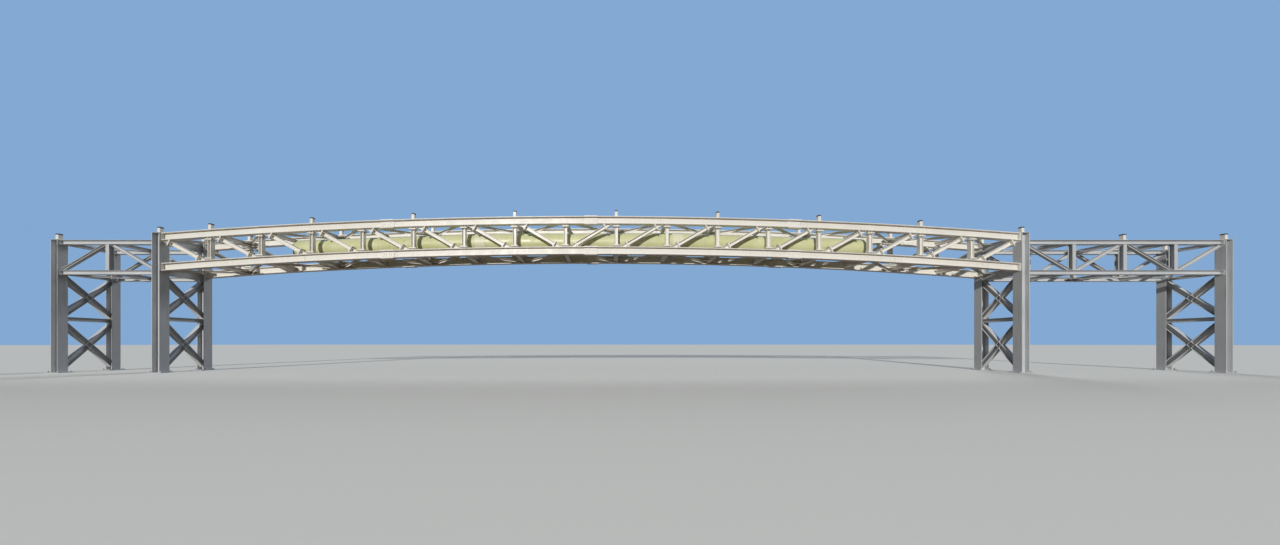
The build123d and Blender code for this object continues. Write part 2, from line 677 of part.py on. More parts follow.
def saddle(panel):
    """A cradle on a floor beam: its foot, its web and the curved plate under the pipe."""
    x = panel_x(panel)
    half_width = BAND_OUTSIDE * math.sin(math.radians(SADDLE_HALF_ANGLE))
    seat = main_line(x) + CROSS_BEAM_LIFT + CROSS_BEAM.depth
    axis_z = axis_height(x)
    rim = axis_z - BAND_INSIDE * math.cos(math.radians(SADDLE_HALF_ANGLE))
    axis_plane = Plane(origin=(x, 0, axis_z), x_dir=Y_AXIS, z_dir=pipe_direction(length_at(x)))
    with BuildPart() as cradle:
        solid_box((x - SADDLE_WEB / 2, x + SADDLE_WEB / 2), (-half_width, half_width), (seat, rim))
        solid_box((x - SADDLE_LENGTH / 2, x + SADDLE_LENGTH / 2), (-half_width, half_width),
                  (seat, seat + SADDLE_PLATE))
        with BuildSketch(axis_plane) as pipe_space:
            Circle(BAND_INSIDE)
        extrude(pipe_space.sketch, amount=SADDLE_LENGTH, both=True, mode=Mode.SUBTRACT)
        with BuildSketch(axis_plane) as curved_plate:
            with BuildLine():
                start_angle = -90 - SADDLE_HALF_ANGLE
                inner = CenterArc((0, 0), BAND_INSIDE, start_angle, 2 * SADDLE_HALF_ANGLE)
                outer = CenterArc((0, 0), BAND_INSIDE + SADDLE_PLATE, start_angle, 2 * SADDLE_HALF_ANGLE)
                Line(inner @ 0, outer @ 0)
                Line(inner @ 1, outer @ 1)
            make_face()
        extrude(curved_plate.sketch, amount=SADDLE_LENGTH / 2, both=True)
    return cradle.part


FIRST_SADDLE = math.ceil(LEFT_TOWER + PIPE_JOINTS[0])
LAST_SADDLE = math.floor(LEFT_TOWER + PIPE_JOINTS[-1])
save_group([saddle(panel) for panel in range(FIRST_SADDLE, LAST_SADDLE + 1)], "pipe_saddles")


# Short posts along both top chords, and their caps
def main_top_line(x):
    """Top of the main truss."""
    return main_line(x) + TRUSS_DEPTH


def approach_top_line(x):
    """Top of the approach trusses."""
    return TOP_OF_APPROACH


def tower_cap_line(x):
    """Top of the towers' cap plates."""
    return TOP_OF_TRUSS + CAP_PLATE


def trestle_cap_line(x):
    """Top of the end trestles' cap plates."""
    return TOP_OF_APPROACH + CAP_PLATE


POST_SEATS = [(panel, main_top_line) for panel in range(LEFT_TOWER + 1, RIGHT_TOWER, 2)]
POST_SEATS += [(LEFT_TOWER, tower_cap_line), (RIGHT_TOWER, tower_cap_line)]
POST_SEATS += [(LEFT_TRESTLE, trestle_cap_line), (RIGHT_TRESTLE, trestle_cap_line)]
POST_SEATS += [((RIGHT_TOWER + RIGHT_TRESTLE) // 2, approach_top_line)]


def post(panel, seat_line):
    """A square tube on a foot plate that follows the chord under it."""
    x = panel_x(panel)
    foot = seat_line(x)
    half = POST_SIZE / 2
    inner = half - POST_WALL
    base_start = x - POST_BASE_SIZE / 2
    base_end = x + POST_BASE_SIZE / 2
    z_range = (foot - POST_BASE, foot + POST_HEIGHT)
    with BuildPart() as tube:
        solid_box((x - half, x + half), (-SIDE_Y - half, -SIDE_Y + half), z_range)
        solid_box((x - inner, x + inner), (-SIDE_Y - inner, -SIDE_Y + inner), z_range, Mode.SUBTRACT)
        strip(seat_line, base_start, base_end, -2 * POST_BASE, POST_BASE / 2, -SIDE_Y, POST_BASE_SIZE,
              Mode.SUBTRACT)
        strip(seat_line, base_start, base_end, 0, POST_BASE, -SIDE_Y, POST_BASE_SIZE)
    return tube.part


def post_cap(panel, seat_line):
    """The square cap on a post."""
    with BuildPart() as cap:
        with Locations((panel_x(panel), -SIDE_Y, seat_line(panel_x(panel)) + POST_HEIGHT + POST_CAP / 2)):
            Box(POST_CAP_SIZE, POST_CAP_SIZE, POST_CAP)
    return cap.part


for name, make_piece in (("posts", post), ("post_caps", post_cap)):
    with BuildPart() as both_rows:
        add([make_piece(panel, seat_line) for panel, seat_line in POST_SEATS])
        mirror(about=Plane.XZ)
    save(both_rows, name)
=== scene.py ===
# %% [markdown]
# # A steel pipe bridge, dressed for a portrait
#
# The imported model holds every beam, plate and pipe of this bridge at its true size, as a 1:2 model.
# This lesson gives those parts their paint and laminate, and adds what a workshop and a site crew
# leave on such steel: bolts, welds, anchor rods and the marks of weather.
# Everything is in metres. X runs along the bridge, Y across it, and the near side is at negative Y.

from collections import namedtuple
import json
import math

import bmesh
import bpy
from mathutils import Matrix, Vector


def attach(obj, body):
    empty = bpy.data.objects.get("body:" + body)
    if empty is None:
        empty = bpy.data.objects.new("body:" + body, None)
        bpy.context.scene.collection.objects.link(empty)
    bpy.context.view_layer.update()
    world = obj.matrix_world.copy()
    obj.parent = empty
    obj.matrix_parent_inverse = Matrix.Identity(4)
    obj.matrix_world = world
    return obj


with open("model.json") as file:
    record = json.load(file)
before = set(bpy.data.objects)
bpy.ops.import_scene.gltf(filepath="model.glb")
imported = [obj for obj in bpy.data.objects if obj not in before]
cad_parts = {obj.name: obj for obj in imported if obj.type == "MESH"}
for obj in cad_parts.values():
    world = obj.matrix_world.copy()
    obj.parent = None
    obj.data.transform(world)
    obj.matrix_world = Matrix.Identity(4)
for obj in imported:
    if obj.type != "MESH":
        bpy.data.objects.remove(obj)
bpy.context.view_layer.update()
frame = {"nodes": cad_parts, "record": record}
nodes = frame["nodes"]
print("nodes in the frame:", len(nodes))

# %% [markdown]
# ## The camera
#
# The reference picture is a very wide panorama taken by a person on the road, level, with the middle
# of the bridge ahead. A panorama camera would bend every straight beam, and it would follow us round
# the object in the other views. So a plain lens stands on the same spot and is as wide as it must be
# to hold both end trestles. A small shift upwards lets it look level and still keep more sky than road,
# and a smaller one to the right puts the bridge in the middle, since the person stood left of it.

# %% Camera
CAMERA_PLACE = (-0.88, -9.75, 0.85)
IMAGE_WIDTH = 1280
IMAGE_HEIGHT = 545
HORIZON_ROW = 344
HALF_WIDTH_TANGENT = 2.05
RIGHT_ANGLE = 90
SIDE_SHIFT = 0.022
FAR_CLIP = 2000

bpy.ops.object.camera_add(location=CAMERA_PLACE, rotation=(math.radians(RIGHT_ANGLE), 0, 0))
camera = bpy.context.object
camera.data.lens = camera.data.sensor_width / 2 / HALF_WIDTH_TANGENT
camera.data.shift_x = SIDE_SHIFT
camera.data.shift_y = (HORIZON_ROW - IMAGE_HEIGHT / 2) / IMAGE_WIDTH
camera.data.clip_end = FAR_CLIP
bpy.context.scene.camera = camera
bpy.context.scene.view_settings.view_transform = "Standard"
print("lens:", round(camera.data.lens, 2), "mm")

# %% [markdown]
# ## Floor, sky and light
#
# White steel on a white page would vanish, so the page is a soft sky blue, and it is only there for
# the camera and for reflections. The key lamp shines from behind the camera, a little from the left
# and low, so each flange throws a thin shadow on the web under it, and some light slips in under the
# pipe and picks out the foot of the far truss in dashes. A weak and very soft lamp from the back
# right keeps the sides that look away from the key lamp from going flat, and makes no glints of its
# own. The sky fills the rest.
# The floor looks pale to the camera, but it throws back only the little warm light that bare earth and
# a road would, so the underside of the bridge stays dark brown as it does over a real road.

# %% Floor, sky and light
FLOOR_SIZE = 900
FLOOR_ROUGHNESS = 0.95
FLOOR_SHINE = 0.1
FLOOR_COLOUR = (0.84, 0.84, 0.82, 1)
EARTH_COLOUR = (0.14, 0.10, 0.07, 1)
SKY_COLOUR = (0.23, 0.40, 0.65, 1)
FILL_COLOUR = (0.86, 0.93, 1.0, 1)
FILL_STRENGTH = 0.17
Lamp = namedtuple("Lamp", "name colour strength height side softness glints")
LAMPS = (
    Lamp("key", colour=(1.0, 0.965, 0.91), strength=2.65, height=18, side=-15, softness=2, glints=True),
    Lamp("back", colour=(0.90, 0.95, 1.0), strength=1.0, height=35, side=145, softness=25, glints=False),
)
# A Mix node has sockets for numbers, vectors and colours under the same names, so an index picks them.
MIX_FACTOR, MIX_A, MIX_B, MIX_RESULT = 0, 6, 7, 2


def new_link(tree, start, end):
    """Join an output to an input."""
    tree.links.new(start, end)


def seen_directly(tree):
    """1 for rays that come from the camera, a mirror or glass, and 0 for rays that carry light."""
    rays = tree.nodes.new("ShaderNodeLightPath")
    value = rays.outputs["Is Camera Ray"]
    for name in ("Is Glossy Ray", "Is Transmission Ray"):
        larger = tree.nodes.new("ShaderNodeMath")
        larger.operation = "MAXIMUM"
        new_link(tree, value, larger.inputs[0])
        new_link(tree, rays.outputs[name], larger.inputs[1])
        value = larger.outputs["Value"]
    return value


bpy.ops.mesh.primitive_plane_add(size=FLOOR_SIZE)
floor = bpy.context.object
floor.name = "floor"
floor_material = bpy.data.materials.new("floor")
floor_material.use_nodes = True
floor_tree = floor_material.node_tree
floor_shader = floor_tree.nodes["Principled BSDF"]
floor_colour = floor_tree.nodes.new("ShaderNodeMix")
floor_colour.data_type = "RGBA"
floor_colour.inputs[MIX_A].default_value = EARTH_COLOUR
floor_colour.inputs[MIX_B].default_value = FLOOR_COLOUR
new_link(floor_tree, seen_directly(floor_tree), floor_colour.inputs[MIX_FACTOR])
new_link(floor_tree, floor_colour.outputs[MIX_RESULT], floor_shader.inputs["Base Color"])
floor_shader.inputs["Roughness"].default_value = FLOOR_ROUGHNESS
floor_shader.inputs["Specular IOR Level"].default_value = FLOOR_SHINE
floor.data.materials.append(floor_material)

world = bpy.data.worlds.new("studio")
bpy.context.scene.world = world
world.use_nodes = True
sky = world.node_tree
sky.nodes.clear()
fill = sky.nodes.new("ShaderNodeBackground")
fill.inputs["Color"].default_value = FILL_COLOUR
fill.inputs["Strength"].default_value = FILL_STRENGTH
page = sky.nodes.new("ShaderNodeBackground")
page.inputs["Color"].default_value = SKY_COLOUR
chooser = sky.nodes.new("ShaderNodeMixShader")
sky_output = sky.nodes.new("ShaderNodeOutputWorld")
new_link(sky, seen_directly(sky), chooser.inputs["Fac"])
new_link(sky, fill.outputs["Background"], chooser.inputs[1])
new_link(sky, page.outputs["Background"], chooser.inputs[2])
new_link(sky, chooser.outputs["Shader"], sky_output.inputs["Surface"])

for lamp in LAMPS:
    turn = math.radians(RIGHT_ANGLE - lamp.height), 0, math.radians(lamp.side)
    bpy.ops.object.light_add(type="SUN", rotation=turn)
    light = bpy.context.object
    light.name = lamp.name
    light.data.energy = lamp.strength
    light.data.color = lamp.colour
    light.data.angle = math.radians(lamp.softness)
    light.visible_glossy = lamp.glints
    print(lamp.name, "lamp,", lamp.height, "degrees above the floor")

# %% [markdown]
# ## Shared effects for the finishes
#
# Paint and laminate on site are never even. The same few things happen to all of them: colour drifts
# in soft clouds, dust settles on faces that look up, rain draws streaks down the sides, small chips
# appear, and the surface has a grain. Each effect is a node group that is built once and placed in
# every finish with its own values. A group only puts out values that change over the surface.

# %% Helpers for node groups


def new_group(name, inputs, output):
    """An empty shader group with number inputs, and one number output."""
    group = bpy.data.node_groups.new(name, "ShaderNodeTree")
    for socket, value in inputs.items():
        made = group.interface.new_socket(socket, in_out="INPUT", socket_type="NodeSocketFloat")
        made.default_value = value
    group.interface.new_socket(output, in_out="OUTPUT", socket_type="NodeSocketFloat")
    return group, group.nodes.new("NodeGroupInput"), group.nodes.new("NodeGroupOutput")


def feed(tree, value, socket):
    """Link a socket to an input, or write a number or a colour into it."""
    if isinstance(value, bpy.types.NodeSocket):
        new_link(tree, value, socket)
    else:
        socket.default_value = value


def maths(tree, operation, *values):
    """A math node whose inputs are sockets or numbers."""
    node = tree.nodes.new("ShaderNodeMath")
    node.operation = operation
    for socket, value in zip(node.inputs, values):
        feed(tree, value, socket)
    return node.outputs["Value"]


def remap(tree, value, old_range, new_range=(0.0, 1.0)):
    """Stretch a value from one range to another, and stop it at the ends."""
    node = tree.nodes.new("ShaderNodeMapRange")
    feed(tree, value, node.inputs["Value"])
    for name, ends in (("From", old_range), ("To", new_range)):
        for end, limit in zip(("Min", "Max"), ends):
            feed(tree, limit, node.inputs[f"{name} {end}"])
    return node.outputs["Result"]


def noise(tree, scale, detail=3.0, stretch=(1, 1, 1), roughness=0.5):
    """Noise on the piece's own coordinates, stretched where asked."""
    coordinates = tree.nodes.new("ShaderNodeTexCoord")
    mapping = tree.nodes.new("ShaderNodeMapping")
    mapping.inputs["Scale"].default_value = stretch
    texture = tree.nodes.new("ShaderNodeTexNoise")
    texture.inputs["Detail"].default_value = detail
    texture.inputs["Roughness"].default_value = roughness
    new_link(tree, coordinates.outputs["Object"], mapping.inputs["Vector"])
    new_link(tree, mapping.outputs["Vector"], texture.inputs["Vector"])
    feed(tree, scale, texture.inputs["Scale"])
    return texture.outputs["Fac"]


def facing(tree, axis):
    """How far a face looks along one axis, from -1 to 1."""
    geometry = tree.nodes.new("ShaderNodeNewGeometry")
    split = tree.nodes.new("ShaderNodeSeparateXYZ")
    new_link(tree, geometry.outputs["Normal"], split.inputs["Vector"])
    return split.outputs[axis]


# %% Clouds: a value that drifts over the surface
CLOUD_NOISE = (0.32, 0.68)
clouds, clouds_in, clouds_out = new_group("Clouds", {"Scale": 1.0, "Low": 0.0, "High": 1.0}, "Value")
drift = noise(clouds, clouds_in.outputs["Scale"], detail=5.0)
drift_range = clouds_in.outputs["Low"], clouds_in.outputs["High"]
new_link(clouds, remap(clouds, drift, CLOUD_NOISE, drift_range), clouds_out.inputs["Value"])

# %% Dust: settles on faces that look up
DUST_SLOPE = (0.35, 0.95)
DUST_NOISE = (0.3, 0.62)
dust, dust_in, dust_out = new_group("Dust", {"Amount": 0.5, "Scale": 3.0}, "Mask")
upward = remap(dust, facing(dust, "Z"), DUST_SLOPE)
patches = remap(dust, noise(dust, dust_in.outputs["Scale"], detail=6.0), DUST_NOISE)
settled = maths(dust, "MULTIPLY", maths(dust, "MULTIPLY", upward, patches), dust_in.outputs["Amount"])
new_link(dust, settled, dust_out.inputs["Mask"])

# %% Streaks: thin lines that rain draws down upright faces
STREAK_SLOPE = (0.6, 0.25)
STREAK_STRETCH = (1.0, 1.0, 0.06)
STREAK_NOISE = (0.52, 0.72)
STAIN_SCALE = 1.1
STAIN_NOISE = (0.42, 0.6)
streaks, streaks_in, streaks_out = new_group("Streaks", {"Amount": 0.3, "Scale": 22.0}, "Mask")
upright = remap(streaks, maths(streaks, "ABSOLUTE", facing(streaks, "Z")), STREAK_SLOPE)
runs = noise(streaks, streaks_in.outputs["Scale"], detail=4.0, stretch=STREAK_STRETCH)
runs = remap(streaks, runs, STREAK_NOISE)
stains = remap(streaks, noise(streaks, STAIN_SCALE), STAIN_NOISE)
drawn = maths(streaks, "MULTIPLY", maths(streaks, "MULTIPLY", runs, stains), upright)
new_link(streaks, maths(streaks, "MULTIPLY", drawn, streaks_in.outputs["Amount"]), streaks_out.inputs["Mask"])

# %% Chips: small spots where the paint is gone
CHIPPED_SCALE = 1.7
CHIPPED_NOISE = (0.45, 0.6)
chips, chips_in, chips_out = new_group("Chips", {"Scale": 30.0, "Rarity": 0.70}, "Mask")
spots = noise(chips, chips_in.outputs["Scale"], detail=2.0)
areas = remap(chips, noise(chips, CHIPPED_SCALE, detail=2.0), CHIPPED_NOISE)
above = maths(chips, "GREATER_THAN", spots, chips_in.outputs["Rarity"])
new_link(chips, maths(chips, "MULTIPLY", above, areas), chips_out.inputs["Mask"])

# %% Grain: the height of a sprayed or moulded skin
grain, grain_in, grain_out = new_group("Grain", {"Scale": 120.0, "Coarse": 14.0}, "Height")
fine = noise(grain, grain_in.outputs["Scale"], detail=2.0)
coarse = noise(grain, grain_in.outputs["Coarse"])
new_link(grain, maths(grain, "ADD", fine, coarse), grain_out.inputs["Height"])
print("shared effects:", [group.name for group in bpy.data.node_groups])

# %% [markdown]
# ## Painted steel
#
# The main truss has a warm off-white coat and the towers and approaches a blue grey one. Both come
# from one function: the coat's colour drifts a little, dust lies on the flanges, streaks run down the
# webs, and a few chips show the red-brown primer. Gloss is uneven too, which the eye reads as real.
# The splice plates were painted last, after the bolts were tight, so their coat is fresher and paler.

# %% Helpers for finishes


def new_finish(name):
    """A material with only its shader and its output."""
    material = bpy.data.materials.new(name)
    material.use_nodes = True
    return material, material.node_tree, material.node_tree.nodes["Principled BSDF"]


def effect(tree, group, **values):
    """Place a shared effect with its own values, and return what it puts out."""
    node = tree.nodes.new("ShaderNodeGroup")
    node.node_tree = group
    for name, value in values.items():
        node.inputs[name].default_value = value
    return node.outputs[0]


def blend_colours(tree, factor, first, second):
    """Mix two colours by a mask."""
    node = tree.nodes.new("ShaderNodeMix")
    node.data_type = "RGBA"
    new_link(tree, factor, node.inputs[MIX_FACTOR])
    for index, colour in ((MIX_A, first), (MIX_B, second)):
        is_plain = isinstance(colour, tuple)
        feed(tree, (*colour, 1) if is_plain else colour, node.inputs[index])
    return node.outputs[MIX_RESULT]


def add_bump(tree, shader, height, distance):
    """Let a height tilt the shader's normal."""
    bump = tree.nodes.new("ShaderNodeBump")
    bump.inputs["Distance"].default_value = distance
    new_link(tree, height, bump.inputs["Height"])
    new_link(tree, bump.outputs["Normal"], shader.inputs["Normal"])


# %% Painted steel
DUST_COLOUR = (0.56, 0.50, 0.40)
PRIMER_COLOUR = (0.20, 0.085, 0.05)
PAINT_BUMP = 0.0006


def painted_steel(name, paint, faded, grime, grime_amount):
    """A sprayed coat that has stood outside for some months."""
    material, tree, shader = new_finish(name)
    colour = blend_colours(tree, effect(tree, clouds, Scale=0.9), paint, faded)
    colour = blend_colours(tree, effect(tree, streaks, Amount=grime_amount), colour, grime)
    colour = blend_colours(tree, effect(tree, dust, Amount=0.45), colour, DUST_COLOUR)
    worn = effect(tree, chips, Scale=45.0, Rarity=0.74)
    colour = blend_colours(tree, worn, colour, PRIMER_COLOUR)
    new_link(tree, colour, shader.inputs["Base Color"])
    gloss = effect(tree, clouds, Scale=3.5, Low=0.36, High=0.56)
    new_link(tree, gloss, shader.inputs["Roughness"])
    add_bump(tree, shader, effect(tree, grain, Scale=160.0, Coarse=18.0), PAINT_BUMP)
    return material


white_paint = painted_steel(
    "white_paint",
    paint=(0.85, 0.83, 0.78),
    faded=(0.79, 0.77, 0.71),
    grime=(0.36, 0.31, 0.24),
    grime_amount=0.22,
)
plate_paint = painted_steel(
    "plate_paint",
    paint=(0.88, 0.87, 0.83),
    faded=(0.84, 0.83, 0.78),
    grime=(0.45, 0.40, 0.32),
    grime_amount=0.12,
)
grey_paint = painted_steel(
    "grey_paint",
    paint=(0.60, 0.62, 0.64),
    faded=(0.52, 0.54, 0.56),
    grime=(0.20, 0.19, 0.17),
    grime_amount=0.30,
)
print("painted steel:", white_paint.name, plate_paint.name, grey_paint.name)

# %% [markdown]
# ## Reinforced plastic pipe
#
# The pipe is glass fibre wound on a mandrel in crossing layers, under clear resin, which leaves a pale
# yellow green tube with faint slanting bands. Two wave textures slant opposite ways, and their product
# gives the diamond pattern. The bands over the joints are laid up by hand, so they get a fibrous mat.

# %% Pipe and joint band
WINDING_ANGLE = math.radians(55)
WINDING_SCALE = 2.6
WINDING_DISTORTION = 1.2
WINDING_DETAIL = 2.0
MAT_SCALE = 55.0
MAT_NOISE = (0.35, 0.65)
FIBRE_SHARE = 0.35
LAMINATE_BUMP = 0.0007


def winding(tree, angle):
    """One direction of the wound layers, as a soft stripe."""
    coordinates = tree.nodes.new("ShaderNodeTexCoord")
    mapping = tree.nodes.new("ShaderNodeMapping")
    mapping.inputs["Rotation"].default_value = (0, angle, 0)
    wave = tree.nodes.new("ShaderNodeTexWave")
    wave.inputs["Scale"].default_value = WINDING_SCALE
    wave.inputs["Distortion"].default_value = WINDING_DISTORTION
    wave.inputs["Detail"].default_value = WINDING_DETAIL
    new_link(tree, coordinates.outputs["Object"], mapping.inputs["Vector"])
    new_link(tree, mapping.outputs["Vector"], wave.inputs["Vector"])
    return wave.outputs["Fac"]


def laminate(name, resin, pale, grime, is_wound):
    """Glass fibre in resin, wound by machine or laid by hand."""
    material, tree, shader = new_finish(name)
    colour = blend_colours(tree, effect(tree, clouds, Scale=1.6), resin, pale)
    if is_wound:
        fibres = maths(tree, "MULTIPLY", winding(tree, WINDING_ANGLE), winding(tree, -WINDING_ANGLE))
    else:
        fibres = remap(tree, noise(tree, MAT_SCALE, detail=6.0, roughness=0.7), MAT_NOISE)
    colour = blend_colours(tree, maths(tree, "MULTIPLY", fibres, FIBRE_SHARE), colour, pale)
    colour = blend_colours(tree, effect(tree, streaks, Amount=0.35, Scale=12.0), colour, grime)
    colour = blend_colours(tree, effect(tree, dust, Amount=0.35), colour, DUST_COLOUR)
    new_link(tree, colour, shader.inputs["Base Color"])
    gloss = effect(tree, clouds, Scale=5.0, Low=0.28, High=0.5)
    new_link(tree, gloss, shader.inputs["Roughness"])
    height = maths(tree, "ADD", fibres, effect(tree, grain, Scale=90.0, Coarse=12.0))
    add_bump(tree, shader, height, LAMINATE_BUMP)
    return material


pipe_laminate = laminate(
    "pipe_laminate",
    resin=(0.56, 0.585, 0.29),
    pale=(0.68, 0.69, 0.42),
    grime=(0.28, 0.26, 0.13),
    is_wound=True,
)
band_laminate = laminate(
    "band_laminate",
    resin=(0.66, 0.66, 0.44),
    pale=(0.78, 0.77, 0.60),
    grime=(0.33, 0.29, 0.18),
    is_wound=False,
)
print("laminates:", pipe_laminate.name, band_laminate.name)

# %% Dark caps of the posts
CAP_DARK = (0.035, 0.035, 0.04)
CAP_FADED = (0.07, 0.07, 0.07)
CAP_BUMP = 0.0004
cap_plastic, cap_tree, cap_shader = new_finish("cap_plastic")
cap_colour = blend_colours(cap_tree, effect(cap_tree, clouds, Scale=9.0), CAP_DARK, CAP_FADED)
cap_colour = blend_colours(cap_tree, effect(cap_tree, dust, Amount=0.5), cap_colour, DUST_COLOUR)
new_link(cap_tree, cap_colour, cap_shader.inputs["Base Color"])
new_link(cap_tree, effect(cap_tree, clouds, Scale=20.0, Low=0.4, High=0.65), cap_shader.inputs["Roughness"])
add_bump(cap_tree, cap_shader, effect(cap_tree, grain, Scale=200.0, Coarse=30.0), CAP_BUMP)
print("dark caps:", cap_plastic.name)

# %% [markdown]
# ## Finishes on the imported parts
#
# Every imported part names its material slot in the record. So one table from slot to finish dresses
# them all, and a part that is added later gets its coat by itself.

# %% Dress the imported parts
FINISHES = {
    "white_steel": white_paint,
    "grey_steel": grey_paint,
    "pipe": pipe_laminate,
    "pipe_band": band_laminate,
    "dark_cap": cap_plastic,
}


def wear(piece, material):
    """Give a piece one finish all over."""
    if not piece.material_slots:
        piece.data.materials.append(material)
    for holder in piece.material_slots:
        holder.material = material


for subpart in frame["record"]["subparts"]:
    wear(nodes[subpart["node"]], FINISHES[subpart["material_slot"]])
for level in ("bottom", "top"):
    wear(nodes[f"{level}_splices"], plate_paint)

# %% [markdown]
# ## Where things are
#
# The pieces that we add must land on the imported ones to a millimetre. So the few sizes that drive the
# bridge are repeated here in metres: the bays, the camber and the rolled sections. All places below
# are worked out from them, as a workshop does from its setting-out drawing.

# %% Driving sizes
BAY = 1.5
LEFT_TRESTLE = 0
LEFT_TOWER = 2
MAIN_BAYS = 17
RIGHT_TOWER = LEFT_TOWER + MAIN_BAYS
RIGHT_TRESTLE = 23
BENTS = (LEFT_TRESTLE, LEFT_TOWER, RIGHT_TOWER, RIGHT_TRESTLE)
MAIN_PANELS = range(LEFT_TOWER + 1, RIGHT_TOWER)
MAIN_SPAN = range(LEFT_TOWER, RIGHT_TOWER)
FIRST_MIRRORED_BAY = LEFT_TOWER + MAIN_BAYS // 2
SIDE_Y = 0.5
TRUSS_DEPTH = 1.115
CLEARANCE = 3.0
CAMBER = 0.5
APPROACH_UNDERSIDE = 2.9
APPROACH_DEPTH = 1.015
Section = namedtuple("Section", "depth width web flange")
CHORD = Section(0.220, 0.150, 0.009, 0.018)
VERTICAL = Section(0.100, 0.100, 0.006, 0.008)
DIAGONAL = Section(0.100, 0.100, 0.005, 0.008)
CROSS_BEAM = Section(0.120, 0.120, 0.006, 0.009)
TOWER_LEG = Section(0.230, 0.210, 0.010, 0.017)
TRESTLE_LEG = Section(0.200, 0.180, 0.008, 0.013)
APPROACH_CHORD = Section(0.125, 0.125, 0.006, 0.008)
TOP_CHORD_LOW = TRUSS_DEPTH - CHORD.depth
CHORD_LOWS = (0, TOP_CHORD_LOW)
X_AXIS = Vector((1, 0, 0))
Y_AXIS = Vector((0, 1, 0))
Z_AXIS = Vector((0, 0, 1))


def panel_x(panel):
    """Place of a panel point along the bridge."""
    return (panel - RIGHT_TRESTLE / 2) * BAY


def panel_rise(panel):
    """Camber of the main truss at a panel point."""
    share = 2 * (panel - LEFT_TOWER) / MAIN_BAYS - 1
    return CAMBER * (1 - share ** 2)


def main_line(x):
    """Underside of the main truss, straight in each bay."""
    bays = x / BAY + RIGHT_TRESTLE / 2
    panel = min(max(math.floor(bays), LEFT_TOWER), RIGHT_TOWER - 1)
    start = panel_rise(panel)
    return CLEARANCE + start + (bays - panel) * (panel_rise(panel + 1) - start)


def approach_line(x):
    """Underside of the approach trusses, level."""
    return APPROACH_UNDERSIDE


def bay_run(line, bay):
    """Direction of a truss line in one bay."""
    return Vector((BAY, 0, line(panel_x(bay + 1)) - line(panel_x(bay)))).normalized()


def leg_section(panel):
    """The leg's section at a bent."""
    return TOWER_LEG if panel in (LEFT_TOWER, RIGHT_TOWER) else TRESTLE_LEG


print("middle of the span:", round(main_line(0) + TRUSS_DEPTH, 3), "m at the top of the truss")

# %% [markdown]
# ## Helpers for modelling by hand
#
# Each new piece is made once, the way one would make it at the screen: add a primitive, open its mesh,
# pick faces or edges by where they are, and extrude, inset or bevel them. Then it is copied to all its
# places. A place is a matrix whose Z runs along a bolt or a member. Mirroring a place twice, once in
# the world and once in the piece, gives the far side without turning any mesh inside out. That works
# because the two halves of each piece are alike.

# %% Select, edit and close
TINY = 1e-4


def deselect_all():
    """Leave no object selected."""
    bpy.ops.object.select_all(action="DESELECT")


def open_mesh(piece):
    """Go into edit mode on one piece, with nothing selected in it."""
    deselect_all()
    piece.select_set(True)
    bpy.context.view_layer.objects.active = piece
    bpy.ops.object.mode_set(mode="EDIT")
    bpy.ops.mesh.select_all(action="DESELECT")


def close_mesh():
    """Turn all faces outwards and leave edit mode."""
    bpy.ops.mesh.select_all(action="SELECT")
    bpy.ops.mesh.normals_make_consistent(inside=False)
    bpy.ops.object.mode_set(mode="OBJECT")


def pick(piece, kind, test):
    """In edit mode, select only the faces or edges whose middle passes a test."""
    bpy.ops.mesh.select_mode(type=kind)
    bpy.ops.mesh.select_all(action="DESELECT")
    mesh = bmesh.from_edit_mesh(piece.data)
    for element in mesh.faces if kind == "FACE" else mesh.edges:
        middle = sum((corner.co for corner in element.verts), Vector()) / len(element.verts)
        element.select_set(test(middle))
    bmesh.update_edit_mesh(piece.data)


def extrude_faces(move):
    """Pull the selected faces out by a move."""
    bpy.ops.mesh.extrude_region_move(TRANSFORM_OT_translate={"value": move})


def added(scale=(1, 1, 1)):
    """The primitive that was just added, with its place and size put into its mesh."""
    piece = bpy.context.object
    piece.scale = scale
    bpy.ops.object.transform_apply()
    return piece


def join(pieces):
    """Join several pieces into the first."""
    deselect_all()
    for piece in pieces:
        piece.select_set(True)
    bpy.context.view_layer.objects.active = pieces[0]
    bpy.ops.object.join()
    return bpy.context.object


# %% Places and copies
FLIP_Y = Matrix.Diagonal((1, -1, 1, 1))


def place(point, along=Z_AXIS, across=X_AXIS):
    """A place with its Z along one direction and its X as near as can be to another."""
    z = Vector(along).normalized()
    y = z.cross(Vector(across)).normalized()
    turn = Matrix((y.cross(z), y, z)).transposed().to_4x4()
    return Matrix.Translation(point) @ turn


def far_side(places):
    """The same places on the far side of the bridge, for a piece that is even in its own Y."""
    return [FLIP_Y @ matrix @ FLIP_Y for matrix in places]


def copy_to(master, places, name, finish):
    """Copy a piece to each place, each copy with its own mesh, and join the copies into one named piece."""
    twins = []
    for matrix in places:
        twin = master.copy()
        twin.data = master.data.copy()
        twin.data.transform(matrix)
        bpy.context.scene.collection.objects.link(twin)
        twins.append(twin)
    piece = join(twins)
    piece.name = name
    piece.data.name = name
    wear(piece, finish)
    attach(piece, "root")
    print(name, "has", len(twins), "copies and", len(piece.data.polygons), "faces")


def drop(*masters):
    """Remove the masters once their copies are made."""
    for master in masters:
        bpy.data.objects.remove(master)


# %% [markdown]
# ## Galvanised bolts
#
# Every site joint of this bridge is bolted, and most of the bolts are coated with dull grey zinc. Its
# crystals show as a faint mottle, so a cell texture breaks up the colour, and the metal is rough rather
# than mirror-like.

